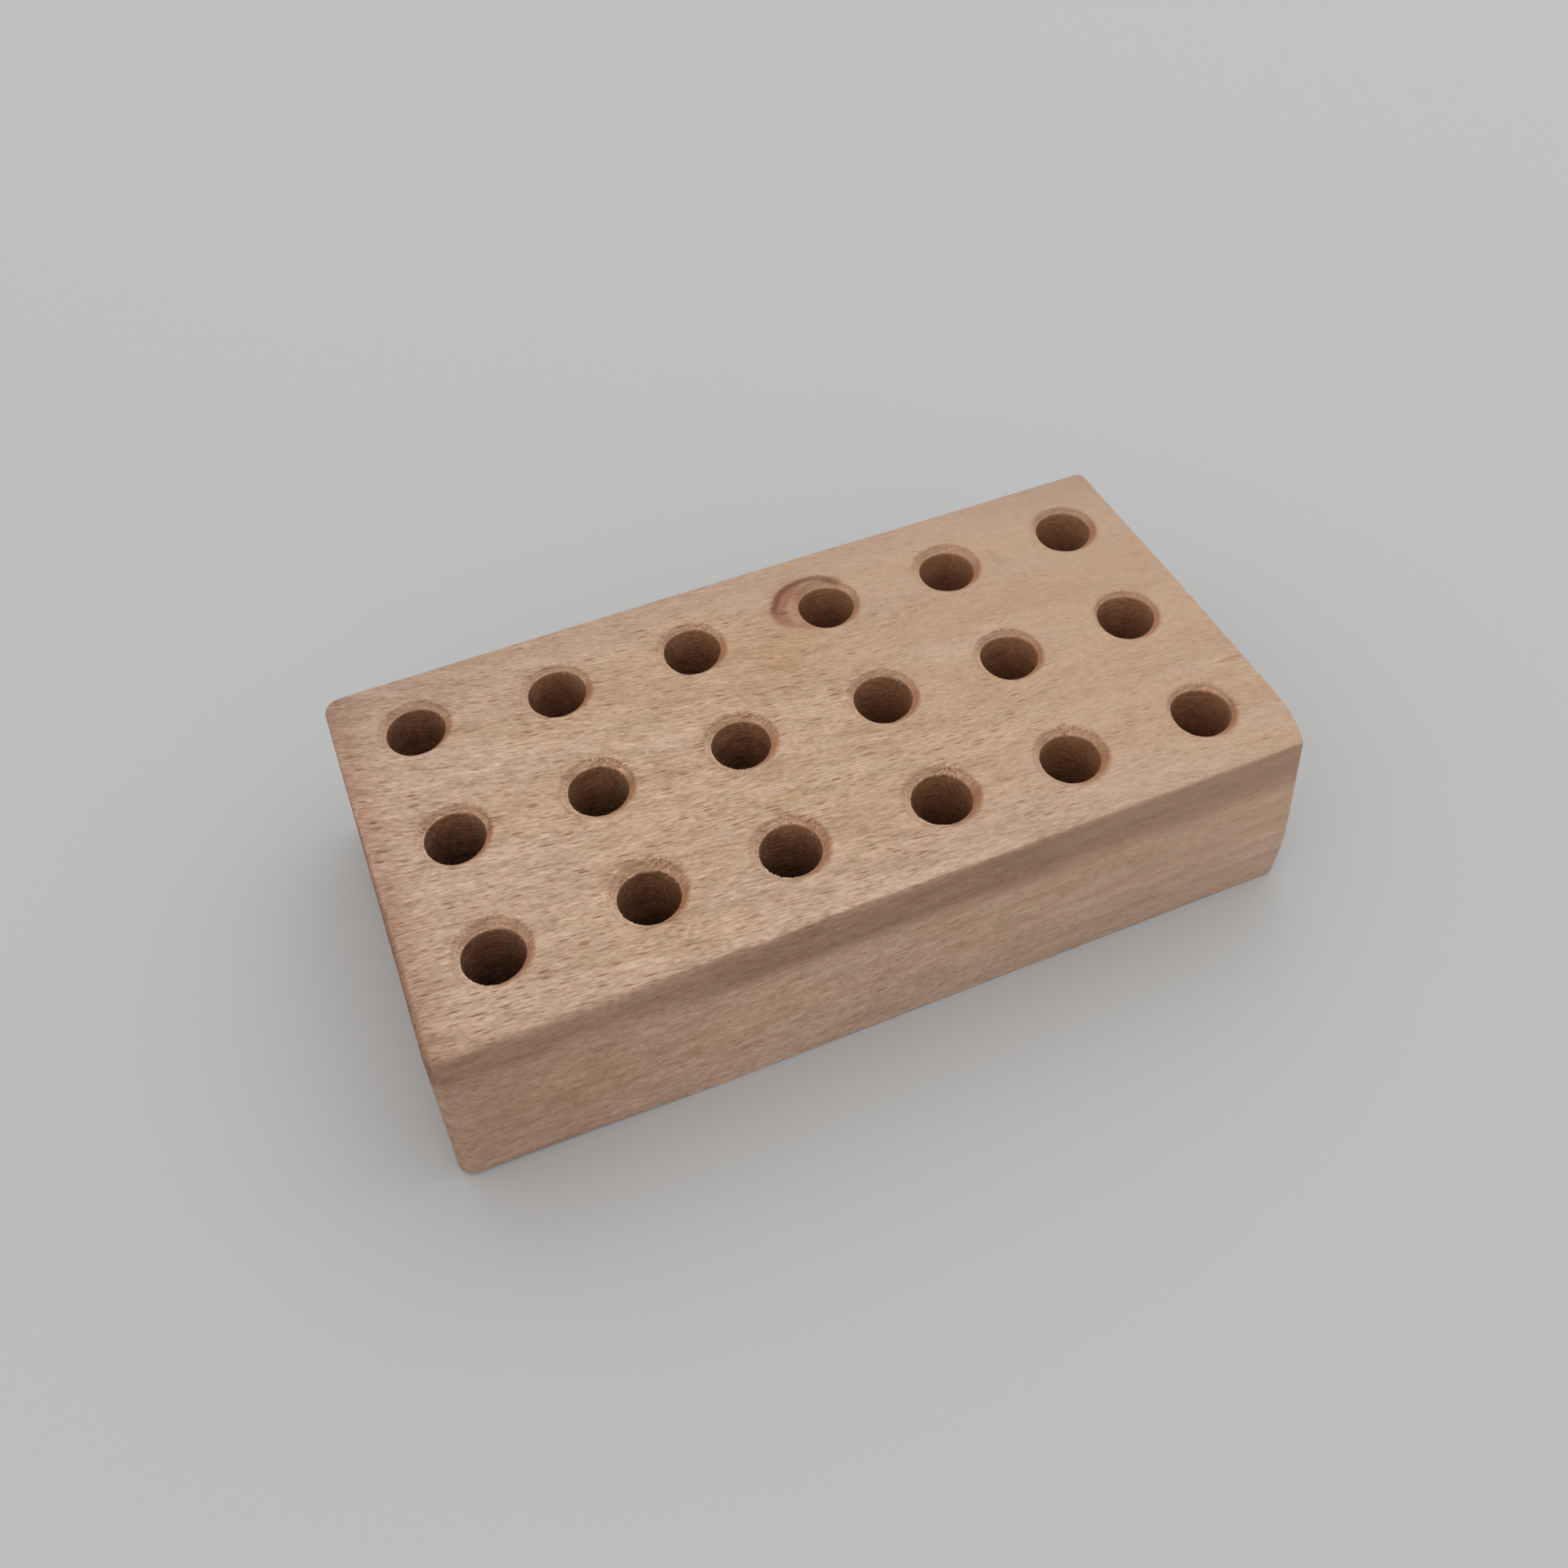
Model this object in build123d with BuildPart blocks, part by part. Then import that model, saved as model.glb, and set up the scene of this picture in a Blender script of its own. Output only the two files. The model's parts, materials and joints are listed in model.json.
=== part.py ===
from build123d import *
import math
import os

# Wooden dop stand: one block of hardwood with rows of blind sockets drilled in its top.
# Each socket holds the shank of a dop, so that the stone on the dop's end stands upright.
# X runs along the block, Y from its front to its back and Z up. Sizes are in millimetres.
# The origin is the middle of the underside.

# Block
block_length = 100.0
block_width = 52.4
block_height = 21.5

# Upright corners, each sanded to its own radius
front_left_radius = 1.8
front_right_radius = 0.6
back_left_radius = 2.2
back_right_radius = 1.0

# The right end was sanded away in a long shallow curve towards its front corner
worn_length = 9.0  # along the end
worn_depth = 1.5  # into the block, where the curve meets the front

# Sanded edges round the top and the underside
top_edge_radius = 0.5
base_edge_radius = 0.3

# Rows of sockets
columns = 6
rows = 3
end_margin = 8.7  # from the middle of an end socket to the block's end
side_margin = 9.8  # from the middle of a front or back socket to the block's side
grid_shift_right = 0.6  # the whole grid lies a little right of the block's middle
grid_shift_back = 0.55  # and a little behind it

# One socket
socket_diameter = 6.7
floor_thickness = 3.5  # wood left under the tip of the drill
drill_point_angle = 118.0
drill_tip_diameter = 0.6  # the small flat that a drill's blunt tip leaves in the socket's floor
rim_chamfer = 0.6

# The sockets were marked and drilled by hand, so they lie a little off the grid.
# Row and column, counted from the front left, give the drift to the right and to the back.
socket_drift = {
    (0, 0): (0.1, 0.2),
    (0, 1): (0.3, 0.7),
    (0, 2): (-0.6, 0.3),
    (0, 3): (0.4, 0.0),
    (0, 4): (-0.8, -0.6),
    (0, 5): (-0.8, -0.7),
    (1, 0): (0.2, 0.2),
    (1, 1): (-0.2, 0.2),
    (1, 3): (0.8, -0.3),
    (1, 4): (0.4, -0.4),
    (1, 5): (-0.5, -0.2),
    (2, 0): (-0.2, 0.8),
    (2, 1): (-0.2, -0.2),
    (2, 2): (0.0, -0.2),
    (2, 3): (0.9, 0.1),
    (2, 4): (0.4, -0.3),
    (2, 5): (0.4, 0.2),
}

# Sizes that follow from these
column_pitch = (block_length - 2 * end_margin) / (columns - 1)
row_pitch = (block_width - 2 * side_margin) / (rows - 1)
socket_radius = socket_diameter / 2
drill_tip_radius = drill_tip_diameter / 2
drill_point_depth = (socket_radius - drill_tip_radius) / math.tan(math.radians(drill_point_angle / 2))
socket_floor = floor_thickness + drill_point_depth  # height at which the straight wall ends
front_left = (-block_length / 2, -block_width / 2)
front_right = (block_length / 2 - worn_depth, -block_width / 2)
wear_start = (block_length / 2, worn_length - block_width / 2)
back_right = (block_length / 2, block_width / 2)
back_left = (-block_length / 2, block_width / 2)
corner_radii = {
    front_left: front_left_radius,
    front_right: front_right_radius,
    back_right: back_right_radius,
    back_left: back_left_radius,
}


def socket_centres():
    """Give each socket's centre in plan, row by row from the front left."""
    centres = []
    for row in range(rows):
        for column in range(columns):
            drift_right, drift_back = socket_drift.get((row, column), (0.0, 0.0))
            x = grid_shift_right + (column - (columns - 1) / 2) * column_pitch + drift_right
            y = grid_shift_back + (row - (rows - 1) / 2) * row_pitch + drift_back
            centres.append((x, y))
    return centres


with BuildPart() as dop_block:
    # The sawn block, its upright corners rounded
    with BuildSketch() as plan:
        with BuildLine():
            Polyline(wear_start, back_right, back_left, front_left, front_right)
            TangentArc(wear_start, front_right, tangent=(0, -1))
        make_face()
        for corner, radius in corner_radii.items():
            nearest_vertex = plan.vertices().sort_by_distance((*corner, 0))[0]
            fillet(nearest_vertex, radius=radius)
    extrude(amount=block_height)

    # The sanded edges
    fillet(dop_block.faces().sort_by(Axis.Z)[-1].edges(), radius=top_edge_radius)
    fillet(dop_block.faces().sort_by(Axis.Z)[0].edges(), radius=base_edge_radius)

    # The sockets, each with the cone that the point of the drill leaves in its floor
    with Locations(Plane.XY.offset(socket_floor)):
        with Locations(*socket_centres()):
            Cylinder(
                radius=socket_radius,
                height=block_height - socket_floor,
                align=(Align.CENTER, Align.CENTER, Align.MIN),
                mode=Mode.SUBTRACT,
            )
            Cone(
                bottom_radius=drill_tip_radius,
                top_radius=socket_radius,
                height=drill_point_depth,
                align=(Align.CENTER, Align.CENTER, Align.MAX),
                mode=Mode.SUBTRACT,
            )

    # The chamfered mouths
    top_face = dop_block.faces().sort_by(Axis.Z)[-1]
    chamfer(top_face.inner_wires().edges(), length=rim_chamfer)

dop_block.part.label = "dop_block"
os.makedirs("parts", exist_ok=True)
export_step(dop_block.part, "parts/dop_block.step")
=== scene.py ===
import json
import math
import random

import bmesh
import bpy
from mathutils import Matrix, Vector, noise


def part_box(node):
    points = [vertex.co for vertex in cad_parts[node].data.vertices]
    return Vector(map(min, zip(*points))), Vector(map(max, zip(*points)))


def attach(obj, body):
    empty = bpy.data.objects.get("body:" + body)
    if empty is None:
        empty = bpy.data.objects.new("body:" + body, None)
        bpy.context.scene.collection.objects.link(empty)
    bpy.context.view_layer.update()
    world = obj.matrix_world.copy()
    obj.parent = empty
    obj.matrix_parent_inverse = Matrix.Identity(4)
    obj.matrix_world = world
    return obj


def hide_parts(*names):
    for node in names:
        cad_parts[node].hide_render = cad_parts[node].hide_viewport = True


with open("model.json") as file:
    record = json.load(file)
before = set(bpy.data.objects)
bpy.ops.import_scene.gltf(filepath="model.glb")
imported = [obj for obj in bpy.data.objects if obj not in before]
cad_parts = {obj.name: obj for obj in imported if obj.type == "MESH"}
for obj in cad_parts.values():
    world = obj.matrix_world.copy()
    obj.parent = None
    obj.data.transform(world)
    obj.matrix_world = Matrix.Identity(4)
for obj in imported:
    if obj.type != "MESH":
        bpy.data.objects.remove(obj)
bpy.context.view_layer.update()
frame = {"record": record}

# Lengths in this script are in millimetres unless a name says otherwise, and become metres in each mesh.
MM = 0.001

# The block's box and its sockets, read from the frame
box_low, box_high = (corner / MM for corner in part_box("dop_block"))
bores = [mount for mount in frame["record"]["mounts"] if mount["kind"] == "bore"]
sockets = [Vector(mount["pos_m"]).xy / MM for mount in bores]
SOCKET_RADIUS = bores[0]["dims"]["r_mm"]
WALL_MIDDLE = bores[0]["pos_m"][2] / MM
WALL_TOP = WALL_MIDDLE + bores[0]["dims"]["length_mm"] / 2
WALL_FOOT = WALL_MIDDLE - bores[0]["dims"]["length_mm"] / 2
TOP = box_high.z
COLUMNS = 6
ROWS = 3

# The block's shape in plan
FRONT_LEFT_RADIUS = 1.8
FRONT_RIGHT_RADIUS = 0.6
BACK_RIGHT_RADIUS = 1.0
BACK_LEFT_RADIUS = 2.2
WORN_LENGTH = 9.0  # the right end curves away towards its front corner
WORN_DEPTH = 1.5

# The top's edges were sanded by hand, most of all at the front left
TOP_EDGE_FRONT_LEFT = 1.0
TOP_EDGE_FRONT_RIGHT = 0.4
TOP_EDGE_BACK_LEFT = 0.2
TOP_EDGE_BACK_RIGHT = 0.15
TOP_EDGE_TAIL = 1.35  # how much wider the rounding is on the top than down the side
TOP_EDGE_NARROWING = 0.08  # the share of the right end over which the front's rounding fades to the back's
EDGE_UNEVENNESS = 0.22  # how far the rounding's size wanders, as a share of it
EDGE_LUMPS = 0.11  # and how many times it does so in a millimetre
BASE_EDGE_RADIUS = 0.25
BASE_EDGE_FRONT_LEFT = 0.8  # the underside's edge, where it is more worn
BASE_WEAR_X = (-22.0, -34.0)  # where that wear begins and where it is full, towards the left
BASE_WEAR_Y = (0.0, -20.0)  # and towards the front
LOW_CORNER_WEAR = 1.3  # how far the front right corner is worn away at its foot
LOW_CORNER_HEIGHT = 8.0
LOW_CORNER_X = (42.0, 47.5)  # where that wear begins and where it is full, towards the right
LOW_CORNER_Y = (-17.0, -25.0)  # and towards the front

# Sanding has left low waves everywhere
BROAD_WAVE_DEPTH = 0.018
BROAD_WAVES = 0.06  # how many in a millimetre
BROAD_WAVE_SEED = Vector((3, 1, 8))
FINE_WAVE_DEPTH = 0.012
FINE_WAVES = 0.35
FINE_WAVE_SEED = Vector((0, 5, 2))

DRILL_TIP_RADIUS = 0.3  # the small flat that the drill's blunt tip leaves
DRILL_POINT_ANGLE = 118.0
DRILL_POINT_DEPTH = (SOCKET_RADIUS - DRILL_TIP_RADIUS) / math.tan(math.radians(DRILL_POINT_ANGLE / 2))
RIM_RADIUS = SOCKET_RADIUS + TOP - WALL_TOP

# Each socket's chamfer was cut by hand with the tool leaning, so most are deepest towards the front.
# The depths in front of each socket, beside it and behind it, row by row from the front left:
CHAMFERS_IN_FRONT = (
    0.97, 1.05, 1.09, 1.01, 1.02, 1.00,
    1.13, 1.12, 1.18, 1.19, 1.01, 1.06,
    1.03, 1.12, 1.28, 1.02, 1.02, 1.14,
)
CHAMFERS_BESIDE = (
    0.80, 0.88, 0.92, 0.94, 0.76, 0.50,
    0.75, 0.82, 0.86, 0.66, 0.54, 0.50,
    0.74, 0.75, 0.73, 0.62, 0.76, 0.74,
)
CHAMFERS_BEHIND = (
    0.92, 0.88, 0.66, 0.62, 0.70, 0.60,
    0.60, 0.64, 0.72, 0.56, 0.62, 0.55,
    0.60, 0.50, 0.50, 0.68, 0.74, 0.62,
)
LEAN = Vector((-0.35, -0.94))  # the direction in which the chamfers are deepest
RIM_DRIFT = 0.06  # how far a chamfer's middle may lie off its socket's, in X and in Y
RIM_GAP = 0.1  # between the flat's last ring and the chamfer's first
ARRIS = (-0.15, 0.25)  # the share of the chamfer in which its slope begins, which rounds its outer edge

# How badly the drill tore each socket's mouth, in the same order
TEARS = (
    0.6, 0.9, 1.0, 0.9, 0.7, 0.5,
    0.4, 1.0, 0.7, 0.4, 0.4, 0.3,
    0.2, 0.4, 0.5, 0.2, 0.3, 0.2,
)
TEAR_TURN = 0.2  # how far the torn quarters are turned, in radians
TEAR_LUMPS = 1.7  # how patchy the tearing is round a mouth
TEAR_IN_FRONT = 0.6  # how badly the quarter towards the front is torn, as a share of the one behind

LIP_NOTCH = 0.24  # how far the lip of a mouth is broken in and out, where it is badly torn
LIP_LUMPS = 26  # how fine the broken lip is: lumps in a radius of the circle round the socket
NOTCH_DEPTH = 0.8  # how far down the wall the broken lip reaches
CHAMFER_ROUGHNESS = 0.05
COARSE_LUMPS = 7  # the chamfer's roughness has lumps of two sizes
FINE_LUMPS = 19
PIT_DEPTH = 0.14  # how deep the torn chamfers are pitted
PIT_LUMPS = 15

FIBRES_ON_A_MOUTH = 60  # on one that is torn most
FIBRE_SINK = 0.17  # how far below the top the torn fibres' middles stay, so that none stands above it
FIBRE_LENGTH_BEHIND = (0.15, 0.45)
FIBRE_LENGTH_IN_FRONT = (0.1, 0.25)
FIBRE_WIDTH = (0.08, 0.15)

# The front was planed by hand with a slight twist. Each number is how far the front lies inside the box.
FRONT_INSET_TOP_LEFT = 0.0
FRONT_INSET_TOP_RIGHT = 0.7
FRONT_INSET_BASE_LEFT = 0.35
FRONT_INSET_BASE_RIGHT = 0.0
FRONT_BASE_FADE = 0.3  # the share of the length over which the inset at the base's left fades out
RIGHT_INSET_BACK = 0.3  # the right end leans in towards the back
BACK_INSET_RIGHT = 0.4  # and the back leans in towards the right
BACK_LEAN_START = -10.0  # where along X it begins to
FRONT_MARGIN = 0.4  # the flat that stays unmoved between the sockets' rims and the part that leans
BACK_MARGIN = 0.9
RIGHT_MARGIN = 0.6

# What each point of the top keeps for the wood's material: how near the mouth it is (0 to 1); how deep it is,
# from 0 to 1 down the chamfer and then in millimetres down the wall; how far it is from the socket's middle,
# and in which direction; and how torn the mouth is there
MOUTH_ATTRIBUTES = ("mouth", "sink", "reach", "bearing_x", "bearing_y", "torn")

# Mesh detail
CELL_SEGMENTS = 32  # along one side of the cell round a socket
SIDE_ROWS = 26
EDGE_SEGMENTS = 6
FLAT_RINGS = 8
CHAMFER_RINGS = 7
WALL_RINGS = 10
CONE_RINGS = 3
RING_CROWDING = 1.6  # above 1, the rings lie closer together towards the rim
MOUTH_MARGIN = 0.30  # the share of the flat round a socket on which its mouth still tells in the material
WELD_DISTANCE = 0.002
BISECTION_STEPS = 40

# Camera, from the fit to the photograph's edges and sockets
PHOTO_WIDTH_PX = 1920
PRINCIPAL_POINT_Y_PX = 690
FOCAL_LENGTH_PX = 2084.2
CAMERA_PLACE = Vector((-45.38, -122.6, 162.91))
CAMERA_AZIMUTH = math.radians(-19.727)
CAMERA_ELEVATION = math.radians(41.899)
CAMERA_ROLL = math.radians(-3.585)
SENSOR_WIDTH = 36.0
CLIP_START_M = 0.005

# Stage
FLOOR_SIZE = 2500
FLOOR_COLOUR = (0.505, 0.51, 0.51)
SKY_COLOUR = (1, 1, 1, 1)
SKY_STRENGTH = 0.82
LAMP_PLACE = Vector((250, 100, 900))
LAMP_SIZE_M = 1.2
LAMP_POWER = 2.2


def smooth(low, high, value):
    """Rise smoothly from 0 at low to 1 at high."""
    t = min(max((value - low) / (high - low), 0.0), 1.0)
    return t * t * (3 - 2 * t)


def blend(a, b, t):
    return a + (b - a) * t


# Outline of the block in plan

def outline_moves():
    """The outline, walked counterclockwise from the middle of its front left corner.

    Each move has a length and a curvature. Each of the four sides' moves ends in the middle of a corner.
    """
    left, front = box_low.x, box_low.y
    right, back = box_high.x, box_high.y
    worn_radius = (WORN_LENGTH ** 2 + WORN_DEPTH ** 2) / (2 * WORN_DEPTH)
    inner_radius = worn_radius - FRONT_RIGHT_RADIUS
    worn_turn = math.asin((WORN_LENGTH - FRONT_RIGHT_RADIUS) / inner_radius)
    front_right_x = right - worn_radius + inner_radius * math.cos(worn_turn)

    def line(length):
        return length, 0.0

    def arc(radius, turn):
        return radius * turn, 1 / radius

    eighth = math.pi / 4
    half_corner = arc(FRONT_RIGHT_RADIUS, eighth - worn_turn / 2)
    return [
        [
            arc(FRONT_LEFT_RADIUS, eighth),
            line(front_right_x - left - FRONT_LEFT_RADIUS),
            half_corner,
        ],
        [
            half_corner,
            arc(worn_radius, worn_turn),
            line(back - BACK_RIGHT_RADIUS - front - WORN_LENGTH),
            arc(BACK_RIGHT_RADIUS, eighth),
        ],
        [
            arc(BACK_RIGHT_RADIUS, eighth),
            line(right - left - BACK_RIGHT_RADIUS - BACK_LEFT_RADIUS),
            arc(BACK_LEFT_RADIUS, eighth),
        ],
        [
            arc(BACK_LEFT_RADIUS, eighth),
            line(back - front - BACK_LEFT_RADIUS - FRONT_LEFT_RADIUS),
            arc(FRONT_LEFT_RADIUS, eighth),
        ],
    ]


def walk(place, heading, length, curvature):
    """The place and heading at the end of one move."""
    if curvature == 0.0:
        return place + Vector((math.cos(heading), math.sin(heading))) * length, heading
    turned = heading + length * curvature
    step = Vector((math.sin(turned) - math.sin(heading), math.cos(heading) - math.cos(turned)))
    return place + step / curvature, turned


def walk_side(start, moves, distance):
    """The place and heading at a distance along one side."""
    place, heading = start
    for length, curvature in moves:
        if distance <= length:
            return walk(place, heading, distance, curvature)
        place, heading = walk(place, heading, length, curvature)
        distance -= length
    return place, heading


def middles(values):
    return [(a + b) / 2 for a, b in zip(values, values[1:])]


column_places = [sum(p.x for p in sockets[i::COLUMNS]) / ROWS for i in range(COLUMNS)]
row_places = [sum(p.y for p in sockets[j * COLUMNS:(j + 1) * COLUMNS]) / COLUMNS for j in range(ROWS)]
column_bounds = middles(column_places)
row_bounds = middles(row_places)


def side_points(start, moves, axis, bounds):
    """Points along one side with their outward directions, in as many steps for each cell.

    bounds are the places on the axis where one socket's cell ends and the next begins.
    """
    total = sum(length for length, _ in moves)
    stops = [0.0]
    for bound in bounds:
        low, high = 0.0, total
        rising = walk_side(start, moves, total)[0][axis] > walk_side(start, moves, 0.0)[0][axis]
        for _ in range(BISECTION_STEPS):
            middle = (low + high) / 2
            if (walk_side(start, moves, middle)[0][axis] < bound) == rising:
                low = middle
            else:
                high = middle
        stops.append(low)
    stops.append(total)
    distances = []
    for a, b in zip(stops, stops[1:]):
        distances += [blend(a, b, k / CELL_SEGMENTS) for k in range(CELL_SEGMENTS)]
    points = []
    for distance in distances + [total]:
        place, heading = walk_side(start, moves, distance)
        points.append((place, Vector((math.sin(heading), -math.cos(heading)))))
    return points


def plan_sides():
    """The four sides of the plan, each as points with outward directions."""
    heading = -math.pi / 4
    arc_middle = FRONT_LEFT_RADIUS * (1 - math.sqrt(0.5))
    place = box_low.xy + Vector((arc_middle, arc_middle))
    axes = (0, 1, 0, 1)
    bounds = (column_bounds, row_bounds, column_bounds[::-1], row_bounds[::-1])
    sides = []
    for moves, axis, side_bounds in zip(outline_moves(), axes, bounds):
        sides.append(side_points((place, heading), moves, axis, side_bounds))
        for length, curvature in moves:
            place, heading = walk(place, heading, length, curvature)
    return sides


SIDES = plan_sides()


def top_edge(place):
    """How far the top's rounded edge reaches down the side at a place in plan."""
    across = (place.x - box_low.x) / (box_high.x - box_low.x)
    back = (place.y - box_low.y) / (box_high.y - box_low.y)
    at_front = blend(TOP_EDGE_FRONT_LEFT, TOP_EDGE_FRONT_RIGHT, across)
    at_back = blend(TOP_EDGE_BACK_LEFT, TOP_EDGE_BACK_RIGHT, across)
    fade = smooth(0.0, blend(1.0, TOP_EDGE_NARROWING, across), back)
    uneven = noise.noise(Vector((place.x * EDGE_LUMPS, place.y * EDGE_LUMPS, 4)))
    return blend(at_front, at_back, fade) * (1 + EDGE_UNEVENNESS * uneven)


def base_edge(place):
    """The radius of the underside's rounded edge at a place in plan."""
    worn_part = smooth(*BASE_WEAR_X, place.x) * smooth(*BASE_WEAR_Y, place.y)
    return blend(BASE_EDGE_RADIUS, BASE_EDGE_FRONT_LEFT, worn_part)


def cell_edges():
    """The edges of the sockets' cells on the top's flat.

    Returns across[i][j], from node (i, j) to (i + 1, j), and up[i][j], from node (i, j) to (i, j + 1).
    """
    n = CELL_SEGMENTS
    rim = [[place - normal * top_edge(place) * TOP_EDGE_TAIL for place, normal in side] for side in SIDES]
    front, right, back, left = rim[0], rim[1], rim[2][::-1], rim[3][::-1]

    def node(i, j):
        if j == 0:
            return front[i * n]
        if j == ROWS:
            return back[i * n]
        if i == 0:
            return left[j * n]
        if i == COLUMNS:
            return right[j * n]
        return Vector((column_bounds[i - 1], row_bounds[j - 1]))

    def line(a, b):
        return [a.lerp(b, k / n) for k in range(n + 1)]

    across = [[None] * (ROWS + 1) for _ in range(COLUMNS)]
    up = [[None] * ROWS for _ in range(COLUMNS + 1)]
    for i in range(COLUMNS):
        for j in range(ROWS + 1):
            if j == 0:
                across[i][j] = front[i * n:(i + 1) * n + 1]
            elif j == ROWS:
                across[i][j] = back[i * n:(i + 1) * n + 1]
            else:
                across[i][j] = line(node(i, j), node(i + 1, j))
    for i in range(COLUMNS + 1):
        for j in range(ROWS):
            if i == 0:
                up[i][j] = left[j * n:(j + 1) * n + 1]
            elif i == COLUMNS:
                up[i][j] = right[j * n:(j + 1) * n + 1]
            else:
                up[i][j] = line(node(i, j), node(i, j + 1))
    return across, up


# Mesh helpers

def grid_faces(bm, rows, closed):
    """Join rows of vertices with quads. closed joins each row's end to its start."""
    for lower, upper in zip(rows, rows[1:]):
        count = len(lower)
        for k in range(count if closed else count - 1):
            quad = (lower[k], lower[(k + 1) % count], upper[(k + 1) % count], upper[k])
            bm.faces.new(quad)


def mesh_object(name, bm, material):
    """Turn a mesh in millimetres into an object in metres."""
    bmesh.ops.scale(bm, vec=(MM, MM, MM), verts=bm.verts)
    mesh = bpy.data.meshes.new(name)
    bm.to_mesh(mesh)
    bm.free()
    mesh.materials.append(material)
    for polygon in mesh.polygons:
        polygon.use_smooth = True
    obj = bpy.data.objects.new(name, mesh)
    bpy.context.scene.collection.objects.link(obj)
    return obj


# The block

def tear(index, angle):
    """How torn a socket's mouth is at an angle, from 0 to 1.

    The drill lifts the fibres where it turns against the grain, which is in two opposite quarters.
    """
    against = math.sin(2 * angle - TEAR_TURN)
    around = Vector((math.cos(angle), math.sin(angle), index * 7.3))
    patchy = 0.55 + 0.9 * noise.noise(around * TEAR_LUMPS)
    side = 1.0 if math.sin(angle) > 0 else TEAR_IN_FRONT
    return TEARS[index] * side * smooth(-0.1, 0.8, against) * min(max(patchy, 0.0), 1.0)


def crumble(index, direction, fineness, seed):
    """Noise round a socket's mouth, from -1 to 1. fineness is how many lumps there are in a radius."""
    return noise.noise(Vector((index * 3.1, seed, 0)) + direction.to_3d() * fineness)


def chamfer_depth(index, direction):
    """How deep a socket's chamfer is in one direction from its middle."""
    ahead = direction.dot(LEAN)
    front, side, back = CHAMFERS_IN_FRONT[index], CHAMFERS_BESIDE[index], CHAMFERS_BEHIND[index]
    return side + (front - back) / 2 * ahead + ((front + back) / 2 - side) * ahead * ahead


class Cell:
    """One socket's cell of the top: rings of vertices from the cell's edge inwards and down the socket."""

    def __init__(self, bm, layers, index, loop):
        self.bm = bm
        self.layers = layers
        self.index = index
        self.centre = sockets[index]
        spokes = [place - self.centre for place in loop]
        self.lengths = [spoke.length for spoke in spokes]
        self.directions = [spoke.normalized() for spoke in spokes]
        self.tears = [tear(index, math.atan2(d.y, d.x)) for d in self.directions]
        self.ragged = [0.35 * TEARS[index] + torn for torn in self.tears]
        rng = random.Random(index + 11)
        drift = Vector((rng.uniform(-RIM_DRIFT, RIM_DRIFT), rng.uniform(-RIM_DRIFT, RIM_DRIFT)))
        self.depths = [chamfer_depth(index, d) for d in self.directions]
        self.rims = [SOCKET_RADIUS + depth + drift.dot(d) for depth, d in zip(self.depths, self.directions)]
        self.notches = [LIP_NOTCH * crumble(index, d, LIP_LUMPS, 5) for d in self.directions]
        self.rows = []

    def build(self):
        self.add_flat()
        self.add_chamfer()
        self.add_wall()
        self.add_cone()
        grid_faces(self.bm, self.rows, closed=True)
        self.bm.faces.new(self.rows[-1])

    def add_ring(self, radius_at, z_at, mouth, sink_at):
        row = []
        for k, direction in enumerate(self.directions):
            radius = radius_at(k)
            place = self.centre + direction * radius
            vert = self.bm.verts.new((place.x, place.y, z_at(k)))
            kept = (mouth, sink_at(k), radius, direction.x, direction.y, self.tears[k])
            for layer, value in zip(self.layers, kept):
                vert[layer] = value
            row.append(vert)
        self.rows.append(row)

    def add_flat(self):
        for step in range(FLAT_RINGS + 1):
            share = (1 - step / FLAT_RINGS) ** RING_CROWDING
            self.add_ring(
                lambda k: blend(self.rims[k] + RIM_GAP, self.lengths[k], share),
                lambda k: TOP,
                smooth(MOUTH_MARGIN, 0.0, share),
                lambda k: 0.0,
            )

    def add_chamfer(self):
        for step in range(CHAMFER_RINGS + 1):
            t = step / CHAMFER_RINGS
            inside = math.sin(math.pi * min(t + 0.1, 1.0))

            def radius_at(k):
                coarse = crumble(self.index, self.directions[k], COARSE_LUMPS, 9)
                fine = crumble(self.index, self.directions[k], FINE_LUMPS, 3)
                roughness = CHAMFER_ROUGHNESS * (coarse + fine) * (0.3 + self.tears[k]) * inside
                notch = self.notches[k] * t * self.ragged[k]
                return blend(self.rims[k], SOCKET_RADIUS, t) + roughness + notch

            def z_at(k):
                fall = self.depths[k] * smooth(*ARRIS, t) * t
                seed = Vector((t * 5, self.index, 2))
                pit = abs(noise.noise(self.directions[k].to_3d() * PIT_LUMPS + seed))
                return TOP - fall - PIT_DEPTH * pit * self.tears[k] * math.sin(math.pi * t)

            self.add_ring(radius_at, z_at, 1.0, lambda k: t)

    def add_wall(self):
        for step in range(1, WALL_RINGS + 1):
            t = (step / WALL_RINGS) ** RING_CROWDING

            def below_lip(k):
                return (TOP - self.depths[k] - WALL_FOOT) * t

            def radius_at(k):
                fade = smooth(NOTCH_DEPTH, 0.0, below_lip(k))
                return SOCKET_RADIUS + self.notches[k] * self.ragged[k] * fade

            self.add_ring(
                radius_at,
                lambda k: TOP - self.depths[k] - below_lip(k),
                1.0,
                lambda k: 1.0 + below_lip(k),
            )

    def add_cone(self):
        for step in range(1, CONE_RINGS + 1):
            t = step / CONE_RINGS
            radius = blend(SOCKET_RADIUS, DRILL_TIP_RADIUS, t)
            z = WALL_FOOT - DRILL_POINT_DEPTH * t
            self.add_ring(lambda k: radius, lambda k: z, 1.0, lambda k: 1.0 + TOP - z)


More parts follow.
